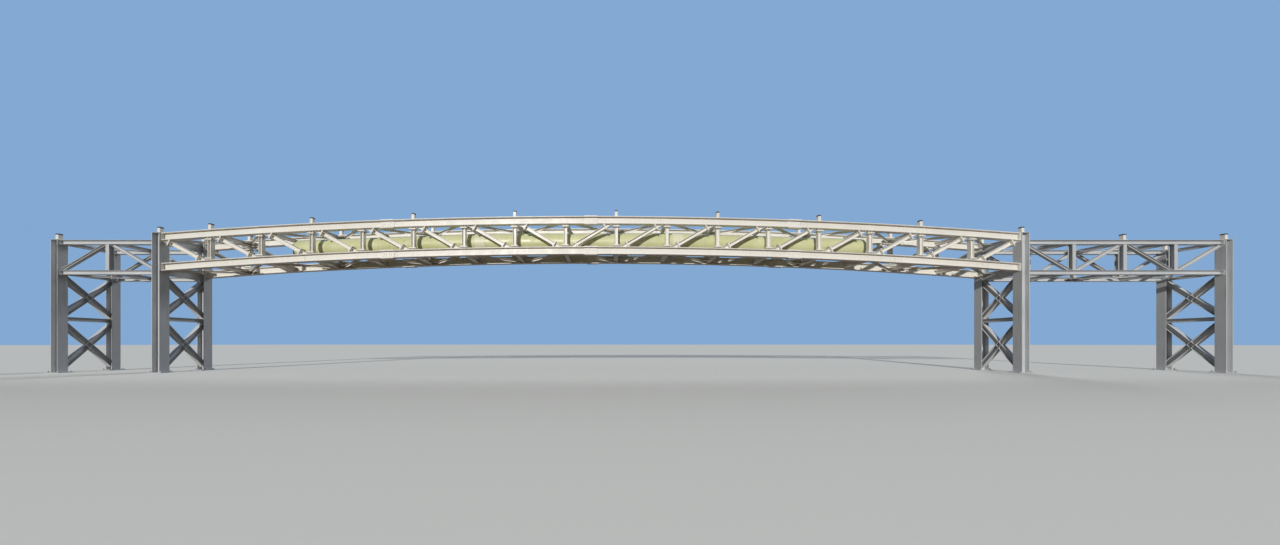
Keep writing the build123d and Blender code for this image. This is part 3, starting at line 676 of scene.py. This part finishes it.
# %% Galvanised steel
SPANGLE_SCALE = 260.0
SPANGLE_SIZE = (0.0, 0.8)
ZINC_PALE = (0.52, 0.53, 0.54)
ZINC_DULL = (0.36, 0.37, 0.385)
ZINC_ROUGHNESS = (0.38, 0.58)
ZINC_METALLIC = 0.7
ZINC_BUMP = 0.0002
galvanised, zinc_tree, zinc_shader = new_finish("galvanised")
zinc_coordinates = zinc_tree.nodes.new("ShaderNodeTexCoord")
cells = zinc_tree.nodes.new("ShaderNodeTexVoronoi")
cells.inputs["Scale"].default_value = SPANGLE_SCALE
new_link(zinc_tree, zinc_coordinates.outputs["Object"], cells.inputs["Vector"])
spangle = remap(zinc_tree, cells.outputs["Distance"], SPANGLE_SIZE)
zinc_colour = blend_colours(zinc_tree, spangle, ZINC_PALE, ZINC_DULL)
zinc_colour = blend_colours(zinc_tree, effect(zinc_tree, dust, Amount=0.4), zinc_colour, DUST_COLOUR)
new_link(zinc_tree, zinc_colour, zinc_shader.inputs["Base Color"])
new_link(zinc_tree, remap(zinc_tree, spangle, (0.0, 1.0), ZINC_ROUGHNESS), zinc_shader.inputs["Roughness"])
zinc_shader.inputs["Metallic"].default_value = ZINC_METALLIC
add_bump(zinc_tree, zinc_shader, effect(zinc_tree, grain, Scale=400.0, Coarse=90.0), ZINC_BUMP)

# %% [markdown]
# A structural bolt is a six-sided head with a chamfered rim, a washer, a nut and the end of the thread.
# A cylinder with six sides is a good start. Its rim is bevelled, and the thread end is pulled out of
# the nut by an inset and an extrude. At some 1700 copies it must stay light, so each part has only
# the faces that its outline needs. All its measures are shares of the bolt's size.

# %% One bolt
HEX_RADIUS = 0.87
HEAD_HEIGHT = 0.65
NUT_HEIGHT = 0.8
WASHER_RADIUS = 0.96
WASHER_HEIGHT = 0.17
TAIL_LENGTH = 0.3
TAIL_INSET = 0.26
TAIL_TAPER = 0.8
CHAMFER = 0.1
HEX_SIDES = 6
WASHER_SIDES = 10


def disc(sides, radius, low, high, rim):
    """A round or six-sided disc between two heights, chamfered at one rim: the height of that rim."""
    deselect_all()
    bpy.ops.mesh.primitive_cylinder_add(vertices=sides, radius=radius, depth=high - low,
                                        location=(0, 0, (low + high) / 2))
    piece = added()
    open_mesh(piece)
    pick(piece, "EDGE", lambda middle: abs(middle.z - rim) < TINY)
    bpy.ops.mesh.bevel(offset=min(radius * CHAMFER, (high - low) / 2), segments=1)
    return piece


def make_bolt(size, grip):
    """A bolt through a grip whose middle is the origin: head over it, washer, nut and tail under it."""
    head_low = grip / 2
    head = disc(HEX_SIDES, HEX_RADIUS * size, head_low, head_low + HEAD_HEIGHT * size,
                head_low + HEAD_HEIGHT * size)
    close_mesh()
    washer_low = -grip / 2 - WASHER_HEIGHT * size
    washer = disc(WASHER_SIDES, WASHER_RADIUS * size, washer_low, -grip / 2, washer_low)
    close_mesh()
    nut_low = washer_low - NUT_HEIGHT * size
    nut = disc(HEX_SIDES, HEX_RADIUS * size, nut_low, washer_low, nut_low)
    pick(nut, "FACE", lambda middle: middle.z < nut_low + TINY)
    bpy.ops.mesh.inset(thickness=TAIL_INSET * size)
    extrude_faces((0, 0, -TAIL_LENGTH * size))
    bpy.ops.transform.resize(value=(TAIL_TAPER, TAIL_TAPER, 1))
    close_mesh()
    return join([head, washer, nut])


# %% [markdown]
# ## Bolts of the verticals and diagonals
#
# A vertical stands between two pairs of plates, and a diagonal too, but aslant. Four bolts hold each
# pair, outside the member's flanges where a spanner can reach them. The places come from the panel
# points, and the far truss has the same bolts, mirrored.

# %% Bolts of the verticals
JOINT_BOLT = 0.010
JOINT_PLATE = 0.016
LOWER_STUB_HEIGHT = 0.045
UPPER_STUB_HEIGHT = 0.070
VERTICAL_BOLT_X = 0.0775
VERTICAL_BOLT_Y = 0.050
SIDES = (-1, 1)


def vertical_joints(panel):
    """The lower and upper joint of a vertical of the near truss."""
    x = panel_x(panel)
    lower = main_line(x) + CHORD.depth + LOWER_STUB_HEIGHT
    upper = main_line(x) + TOP_CHORD_LOW - UPPER_STUB_HEIGHT
    return Vector((x, -SIDE_Y, lower)), Vector((x, -SIDE_Y, upper))


joint_bolt = make_bolt(JOINT_BOLT, 2 * JOINT_PLATE)
vertical_places = [
    place(joint + Vector((side_x * VERTICAL_BOLT_X, side_y * VERTICAL_BOLT_Y, 0)))
    for panel in MAIN_PANELS
    for joint in vertical_joints(panel)
    for side_x in SIDES
    for side_y in SIDES
]
copy_to(joint_bolt, vertical_places, "near_vertical_bolts", galvanised)
copy_to(joint_bolt, far_side(vertical_places), "far_vertical_bolts", galvanised)

# %% Bolts of the diagonals
DIAGONAL_SETBACK = 0.325
DIAGONAL_BOLT_DEPTH = 0.073
DIAGONAL_BOLT_Y = 0.045


def diagonal_ends(bay):
    """Bottom and top work points of a bay's diagonal, which falls towards the middle of the span."""
    falls_right = bay < FIRST_MIRRORED_BAY
    top_x = panel_x(bay if falls_right else bay + 1)
    bottom_x = panel_x(bay + 1 if falls_right else bay)
    top = Vector((top_x, -SIDE_Y, main_line(top_x) + TRUSS_DEPTH - CHORD.depth / 2))
    bottom = Vector((bottom_x, -SIDE_Y, main_line(bottom_x) + CHORD.depth / 2))
    return bottom, top


def diagonal_joints(bay):
    """The two joints of a diagonal, each with the direction from it towards the member's middle."""
    bottom, top = diagonal_ends(bay)
    upwards = (top - bottom).normalized()
    setback = DIAGONAL_SETBACK / abs(upwards.x)
    return (bottom + upwards * setback, upwards), (top - upwards * setback, -upwards)


diagonal_places = []
for bay in MAIN_SPAN:
    for joint, inwards in diagonal_joints(bay):
        square = inwards.cross(Y_AXIS)
        for side_depth in SIDES:
            for side_y in SIDES:
                offset = square * side_depth * DIAGONAL_BOLT_DEPTH + Y_AXIS * side_y * DIAGONAL_BOLT_Y
                diagonal_places.append(place(joint + offset, -inwards, Y_AXIS))
copy_to(joint_bolt, diagonal_places, "near_diagonal_bolts", galvanised)
copy_to(joint_bolt, far_side(diagonal_places), "far_diagonal_bolts", galvanised)
drop(joint_bolt)

# %% [markdown]
# ## Bolts of the chord splices
#
# The chords come in four shop lengths. At each joint a plate on either flange and one on either side of
# the web bridge the gap, with rows of large bolts through them. The nuts are outside, where a wrench
# reaches them, and the heads are in the hollow of the section. All were painted over with the plates,
# so a joint reads as one pale block. The rows follow the slope that the camber gives the bay.

# %% Bolts of the splices
SPLICES = (4.5, 8.5, 12.5)
SPLICE_PLATE = 0.014
SPLICE_BOLT = 0.013
FLANGE_ROWS = (0.030, 0.075, 0.120, 0.165)
FLANGE_BOLT_Y = 0.045
WEB_ROWS = (0.045, 0.100, 0.155)
WEB_HEIGHTS = (-0.050, 0.0, 0.050)


def splice_bolts(low):
    """Places of the flange bolts and web bolts of the near chord that starts at a height in the truss."""
    flange, web = [], []
    high = low + CHORD.depth
    grip_shift = (CHORD.flange - SPLICE_PLATE) / 2
    for bays in SPLICES:
        panel = LEFT_TOWER + bays
        x = panel_x(panel)
        run = bay_run(main_line, math.floor(panel))
        up = run.cross(Y_AXIS)
        origin = Vector((x, -SIDE_Y, main_line(x)))
        for side in SIDES:
            for row in FLANGE_ROWS:
                for side_y in SIDES:
                    spot = origin + run * side * row + Y_AXIS * side_y * FLANGE_BOLT_Y
                    flange.append(place(spot + up * (low + grip_shift), up, run))
                    flange.append(place(spot + up * (high - grip_shift), -up, run))
            for row in WEB_ROWS:
                for height in WEB_HEIGHTS:
                    spot = origin + run * side * row + up * ((low + high) / 2 + height)
                    web.append(place(spot, Y_AXIS, run))
    return flange, web


flange_bolt = make_bolt(SPLICE_BOLT, CHORD.flange + SPLICE_PLATE)
web_bolt = make_bolt(SPLICE_BOLT, CHORD.web + 2 * SPLICE_PLATE)
for level, low in zip(("bottom", "top"), CHORD_LOWS):
    flange_places, web_places = splice_bolts(low)
    copy_to(flange_bolt, flange_places + far_side(flange_places), f"{level}_splice_flange_bolts",
            plate_paint)
    copy_to(web_bolt, web_places + far_side(web_places), f"{level}_splice_web_bolts",
            plate_paint)
drop(flange_bolt, web_bolt)

# %% [markdown]
# ## Bolts at the legs
#
# Each chord ends in a plate that is bolted to the leg's flange, six bolts for a main chord and four for
# an approach chord. One function serves them all: it takes the leg's face, the side on which the truss
# lies, and the pattern, and it puts the nuts inside the leg.

# %% Bolts at the towers and trestles
MAIN_END_BOLT = 0.012
MAIN_END_PLATE = 0.012
APPROACH_END_BOLT = 0.010
APPROACH_END_PLATE = 0.010
MAIN_END_Y = 0.042
MAIN_END_HEIGHTS = (-0.062, 0.0, 0.062)
APPROACH_END_Y = 0.034
APPROACH_END_HEIGHTS = (-0.030, 0.030)


def leg_bolts(panel, towards, middle_z, plate, bolt_y, heights):
    """Places of the bolts that hold one near chord to the face of a leg."""
    section = leg_section(panel)
    face_x = panel_x(panel) + towards * section.depth / 2
    middle_x = face_x + towards * (plate - section.flange) / 2
    return [
        place((middle_x, -SIDE_Y + side_y * bolt_y, middle_z + height), X_AXIS * towards, Y_AXIS)
        for side_y in SIDES
        for height in heights
    ]


main_ends = []
for panel, towards in ((LEFT_TOWER, 1), (RIGHT_TOWER, -1)):
    for low in CHORD_LOWS:
        middle_z = CLEARANCE + low + CHORD.depth / 2
        main_ends += leg_bolts(panel, towards, middle_z, MAIN_END_PLATE, MAIN_END_Y, MAIN_END_HEIGHTS)
main_end_bolt = make_bolt(MAIN_END_BOLT, MAIN_END_PLATE + TOWER_LEG.flange)
copy_to(main_end_bolt, main_ends + far_side(main_ends), "main_chord_end_bolts", galvanised)
drop(main_end_bolt)

APPROACH_LOW_MIDDLE = APPROACH_CHORD.depth / 2
APPROACH_HIGH_MIDDLE = APPROACH_DEPTH - APPROACH_CHORD.depth / 2
for kind, section, ends in (
    ("tower", TOWER_LEG, ((LEFT_TOWER, -1), (RIGHT_TOWER, 1))),
    ("trestle", TRESTLE_LEG, ((LEFT_TRESTLE, 1), (RIGHT_TRESTLE, -1))),
):
    approach_ends = []
    for panel, towards in ends:
        for middle in (APPROACH_LOW_MIDDLE, APPROACH_HIGH_MIDDLE):
            approach_ends += leg_bolts(panel, towards, APPROACH_UNDERSIDE + middle, APPROACH_END_PLATE,
                                       APPROACH_END_Y, APPROACH_END_HEIGHTS)
    end_bolt = make_bolt(APPROACH_END_BOLT, APPROACH_END_PLATE + section.flange)
    copy_to(end_bolt, approach_ends + far_side(approach_ends), f"approach_{kind}_end_bolts",
            galvanised)
    drop(end_bolt)

# %% [markdown]
# ## Bolts of the bracing
#
# The lateral braces are angles that hang under corner gussets. Three small bolts hold each end. They
# lie on the brace's own line, in the sloping plane of the bay, so the line is worked out first.

# %% Bolts of the bracing
BRACE_BOLT = 0.008
GUSSET_PLATE = 0.008
BRACE_THICKNESS = 0.006
GUSSET_LEG_GAP = 0.010
BRACE_ROWS = (0.150, 0.190, 0.230)
CROSS_BEAM_LIFT = 0.025
CROSS_BEAM_MIDDLE = CROSS_BEAM_LIFT + CROSS_BEAM.depth / 2
TOP_STRUT_MIDDLE = TRUSS_DEPTH - CHORD.depth / 2


def brace_corner(line, panel, height, chord):
    """The work point of the braces at a panel: on the near side at even panels, far at odd ones."""
    inset = leg_section(panel).width / 2 + GUSSET_LEG_GAP if panel in BENTS else chord.web / 2
    side = -1 if panel % 2 == 0 else 1
    x = panel_x(panel)
    return Vector((x, side * (SIDE_Y - inset), line(x) + height))


def brace_bolts(line, bays, height, chord):
    """Places of the bolts at both ends of each brace at one level."""
    places = []
    for bay in bays:
        up = bay_run(line, bay).cross(Y_AXIS)
        start = brace_corner(line, bay, height, chord)
        end = brace_corner(line, bay + 1, height, chord)
        run = (end - start).normalized()
        for distance in BRACE_ROWS:
            for spot in (start + run * distance, end - run * distance):
                places.append(place(spot - up * BRACE_THICKNESS / 2, up, run))
    return places


APPROACH_BAYS = [*range(LEFT_TRESTLE, LEFT_TOWER), *range(RIGHT_TOWER, RIGHT_TRESTLE)]
brace_bolt = make_bolt(BRACE_BOLT, GUSSET_PLATE + BRACE_THICKNESS)
for name, line, bays, height, chord in (
    ("bottom_bracing_bolts", main_line, MAIN_SPAN, CROSS_BEAM_MIDDLE, CHORD),
    ("top_bracing_bolts", main_line, MAIN_SPAN, TOP_STRUT_MIDDLE, CHORD),
    ("approach_floor_bracing_bolts", approach_line, APPROACH_BAYS, APPROACH_LOW_MIDDLE, APPROACH_CHORD),
    ("approach_top_bracing_bolts", approach_line, APPROACH_BAYS, APPROACH_HIGH_MIDDLE, APPROACH_CHORD),
):
    copy_to(brace_bolt, brace_bolts(line, bays, height, chord), name, galvanised)
drop(brace_bolt)

# %% [markdown]
# ## Bolts of the saddles
#
# Each saddle stands on the top flange of a cross beam. Four bolts hold either half of its foot, where the
# curved plate above them is high enough for a spanner.

# %% Bolts of the saddles
FIRST_SADDLE = 5
LAST_SADDLE = 16
SADDLE_BOLT = 0.012
SADDLE_PLATE = 0.008
SADDLE_BOLT_X = 0.036
SADDLE_BOLT_Y = (0.160, 0.235)
beam_top = CROSS_BEAM_LIFT + CROSS_BEAM.depth
grip_middle = beam_top + (SADDLE_PLATE - CROSS_BEAM.flange) / 2

saddle_bolts = [
    place((panel_x(panel) + side_x * SADDLE_BOLT_X, side_y * row, main_line(panel_x(panel)) + grip_middle))
    for panel in range(FIRST_SADDLE, LAST_SADDLE + 1)
    for row in SADDLE_BOLT_Y
    for side_x in SIDES
    for side_y in SIDES
]
saddle_bolt = make_bolt(SADDLE_BOLT, SADDLE_PLATE + CROSS_BEAM.flange)
copy_to(saddle_bolt, saddle_bolts, "saddle_bolts", galvanised)
drop(saddle_bolt)

# %% [markdown]
# ## Weld beads
#
# Every rolled section is welded all round where it meets a plate. Such a bead is a small sloping rim
# that follows the outline of the H. It grows from a flat H: a block for the web, pulled out at both
# ends for the flanges and then sideways for their wings. The top is inset by the bead's width and
# lifted by as much, which leaves the slope round the outside. The paint runs over the beads.

# %% A bead round an H section
BEAD_FOOT = 0.0005


def make_bead(section, leg):
    """A fillet weld round a section that stands on the origin, with its flanges facing along X."""
    web_x = section.depth / 2 - section.flange - leg
    web_y = section.web / 2 + leg
    wing = (section.width - section.web) / 2
    bpy.ops.mesh.primitive_cube_add(size=1, location=(0, 0, BEAD_FOOT / 2))
    bead = added((2 * web_x, 2 * web_y, BEAD_FOOT))
    open_mesh(bead)
    for side_x in SIDES:
        pick(bead, "FACE", lambda middle: middle.x * side_x > web_x - TINY)
        extrude_faces((side_x * (section.flange + 2 * leg), 0, 0))
    for side_y in SIDES:
        pick(bead, "FACE", lambda middle: middle.y * side_y > web_y - TINY and abs(middle.x) > web_x)
        extrude_faces((0, side_y * wing, 0))
    pick(bead, "FACE", lambda middle: middle.z > BEAD_FOOT - TINY)
    bpy.ops.mesh.inset(thickness=leg, depth=leg, use_even_offset=True)
    close_mesh()
    return bead


# %% Beads on the plates of the verticals and diagonals
BEAD_LEG = 0.005
vertical_beads = []
for panel in MAIN_PANELS:
    lower, upper = vertical_joints(panel)
    vertical_beads += [
        place(lower + Z_AXIS * JOINT_PLATE, Z_AXIS),
        place(lower - Z_AXIS * JOINT_PLATE, -Z_AXIS),
        place(upper - Z_AXIS * JOINT_PLATE, -Z_AXIS),
        place(upper + Z_AXIS * JOINT_PLATE, Z_AXIS),
    ]
vertical_bead = make_bead(VERTICAL, BEAD_LEG)
copy_to(vertical_bead, vertical_beads, "near_vertical_welds", white_paint)
copy_to(vertical_bead, far_side(vertical_beads), "far_vertical_welds", white_paint)
drop(vertical_bead)

diagonal_beads = []
for bay in MAIN_SPAN:
    for joint, inwards in diagonal_joints(bay):
        across = inwards.cross(Y_AXIS)
        diagonal_beads.append(place(joint + inwards * JOINT_PLATE, inwards, across))
        diagonal_beads.append(place(joint - inwards * JOINT_PLATE, -inwards, across))
diagonal_bead = make_bead(DIAGONAL, BEAD_LEG)
copy_to(diagonal_bead, diagonal_beads, "near_diagonal_welds", white_paint)
copy_to(diagonal_bead, far_side(diagonal_beads), "far_diagonal_welds", white_paint)
drop(diagonal_bead)

# %% Beads at the feet of the legs
BASE_PLATE = 0.016
LEG_BEAD = 0.008
for kind, panels in (("tower", (LEFT_TOWER, RIGHT_TOWER)), ("trestle", (LEFT_TRESTLE, RIGHT_TRESTLE))):
    leg_feet = [place((panel_x(panel), -SIDE_Y, BASE_PLATE)) for panel in panels]
    leg_bead = make_bead(leg_section(panels[0]), LEG_BEAD)
    copy_to(leg_bead, leg_feet + far_side(leg_feet), f"{kind}_foot_welds", grey_paint)
    drop(leg_bead)

# %% [markdown]
# ## Anchor rods
#
# Each base plate sits over four threaded rods that come out of the footing. A thick square washer
# covers the large hole, a nut holds it, and a second nut locks the first. The rod ends above them with
# a chamfer. The thread shows as a few grooves: the rod's end is extruded in small steps, and each step
# is scaled in or out.

# %% Anchor rods with washer and nuts
ANCHOR = 0.018
ANCHOR_LENGTH = 0.310
ANCHOR_WIDTH = 0.200
PLATE_WASHER = 0.044
PLATE_WASHER_HEIGHT = 0.008
EDGE_BREAK = 0.0015
LOCK_NUT = 0.6
ROD_SIDES = 10
ROD_RADIUS = 0.5
THREADS = 3
THREAD_PITCH = 0.0028
THREAD_DEPTH = 0.9

bpy.ops.mesh.primitive_cube_add(size=1, location=(0, 0, PLATE_WASHER_HEIGHT / 2))
plate_washer = added((PLATE_WASHER, PLATE_WASHER, PLATE_WASHER_HEIGHT))
open_mesh(plate_washer)
pick(plate_washer, "EDGE", lambda middle: abs(middle.z - PLATE_WASHER_HEIGHT) < TINY)
bpy.ops.mesh.bevel(offset=EDGE_BREAK, segments=1)
close_mesh()

nut_low = PLATE_WASHER_HEIGHT
lock_low = nut_low + NUT_HEIGHT * ANCHOR
lock_high = lock_low + LOCK_NUT * ANCHOR
main_nut = disc(HEX_SIDES, HEX_RADIUS * ANCHOR, nut_low, lock_low, lock_low)
close_mesh()
lock_nut = disc(HEX_SIDES, HEX_RADIUS * ANCHOR, lock_low, lock_high, lock_high)
close_mesh()

bpy.ops.mesh.primitive_cylinder_add(vertices=ROD_SIDES, radius=ROD_RADIUS * ANCHOR, depth=THREAD_PITCH,
                                    location=(0, 0, lock_high))
rod = added()
open_mesh(rod)
rod_top = lock_high + THREAD_PITCH / 2
for _ in range(THREADS):
    for scale in (THREAD_DEPTH, 1 / THREAD_DEPTH):
        pick(rod, "FACE", lambda middle: middle.z > rod_top - TINY)
        extrude_faces((0, 0, THREAD_PITCH / 2))
        bpy.ops.transform.resize(value=(scale, scale, 1))
        rod_top += THREAD_PITCH / 2
pick(rod, "FACE", lambda middle: middle.z > rod_top - TINY)
extrude_faces((0, 0, THREAD_PITCH / 2))
bpy.ops.transform.resize(value=(TAIL_TAPER, TAIL_TAPER, 1))
close_mesh()
anchor = join([plate_washer, main_nut, lock_nut, rod])

anchor_places = [
    place((panel_x(panel) + side_x * ANCHOR_LENGTH / 2, -SIDE_Y + side_y * ANCHOR_WIDTH / 2, BASE_PLATE))
    for panel in BENTS
    for side_x in SIDES
    for side_y in SIDES
]
copy_to(anchor, anchor_places + far_side(anchor_places), "anchor_rods", galvanised)
drop(anchor)

# %% [markdown]
# ## Bolts of the posts
#
# The short posts stand on square foot plates with a bolt in each corner. On the main truss the bolts
# follow the slope of the chord and pass its flange, on the legs they pass the cap plate. The grip
# differs, so each kind of seat gets its own bolt.

# %% Bolts at the feet of the posts
POST_STEP = 2
POST_BASE = 0.008
POST_BOLT = 0.008
POST_BOLT_X = 0.0575
POST_BOLT_Y = 0.052
CAP_PLATE = 0.012
TOWER_TOP = CLEARANCE + TRUSS_DEPTH + CAP_PLATE
TRESTLE_TOP = APPROACH_UNDERSIDE + APPROACH_DEPTH + CAP_PLATE
APPROACH_POST = (RIGHT_TOWER + RIGHT_TRESTLE) // 2
LEG_SEATS = ((LEFT_TOWER, TOWER_TOP), (RIGHT_TOWER, TOWER_TOP),
             (LEFT_TRESTLE, TRESTLE_TOP), (RIGHT_TRESTLE, TRESTLE_TOP))


def post_bolts(panel, level, slope_left, slope_right, plate):
    """Places of the four bolts of a near post whose foot plate lies on a seat of a certain thickness."""
    places = []
    for side_x, run in zip(SIDES, (slope_left, slope_right)):
        up = run.cross(Y_AXIS)
        row = Vector((panel_x(panel), -SIDE_Y, level)) + run * side_x * POST_BOLT_X
        for side_y in SIDES:
            spot = row + Y_AXIS * side_y * POST_BOLT_Y
            places.append(place(spot + up * (POST_BASE - plate) / 2, up, run))
    return places


truss_posts, leg_posts = [], []
for panel in range(LEFT_TOWER + 1, RIGHT_TOWER, POST_STEP):
    slopes = bay_run(main_line, panel - 1), bay_run(main_line, panel)
    truss_posts += post_bolts(panel, main_line(panel_x(panel)) + TRUSS_DEPTH, *slopes, CHORD.flange)
for panel, level in LEG_SEATS:
    leg_posts += post_bolts(panel, level, X_AXIS, X_AXIS, CAP_PLATE)
approach_posts = post_bolts(APPROACH_POST, APPROACH_UNDERSIDE + APPROACH_DEPTH, X_AXIS, X_AXIS,
                            APPROACH_CHORD.flange)
for name, places, plate in (
    ("truss_post_bolts", truss_posts, CHORD.flange),
    ("leg_post_bolts", leg_posts, CAP_PLATE),
    ("approach_post_bolts", approach_posts, APPROACH_CHORD.flange),
):
    post_bolt = make_bolt(POST_BOLT, POST_BASE + plate)
    copy_to(post_bolt, places + far_side(places), name, galvanised)
    drop(post_bolt)
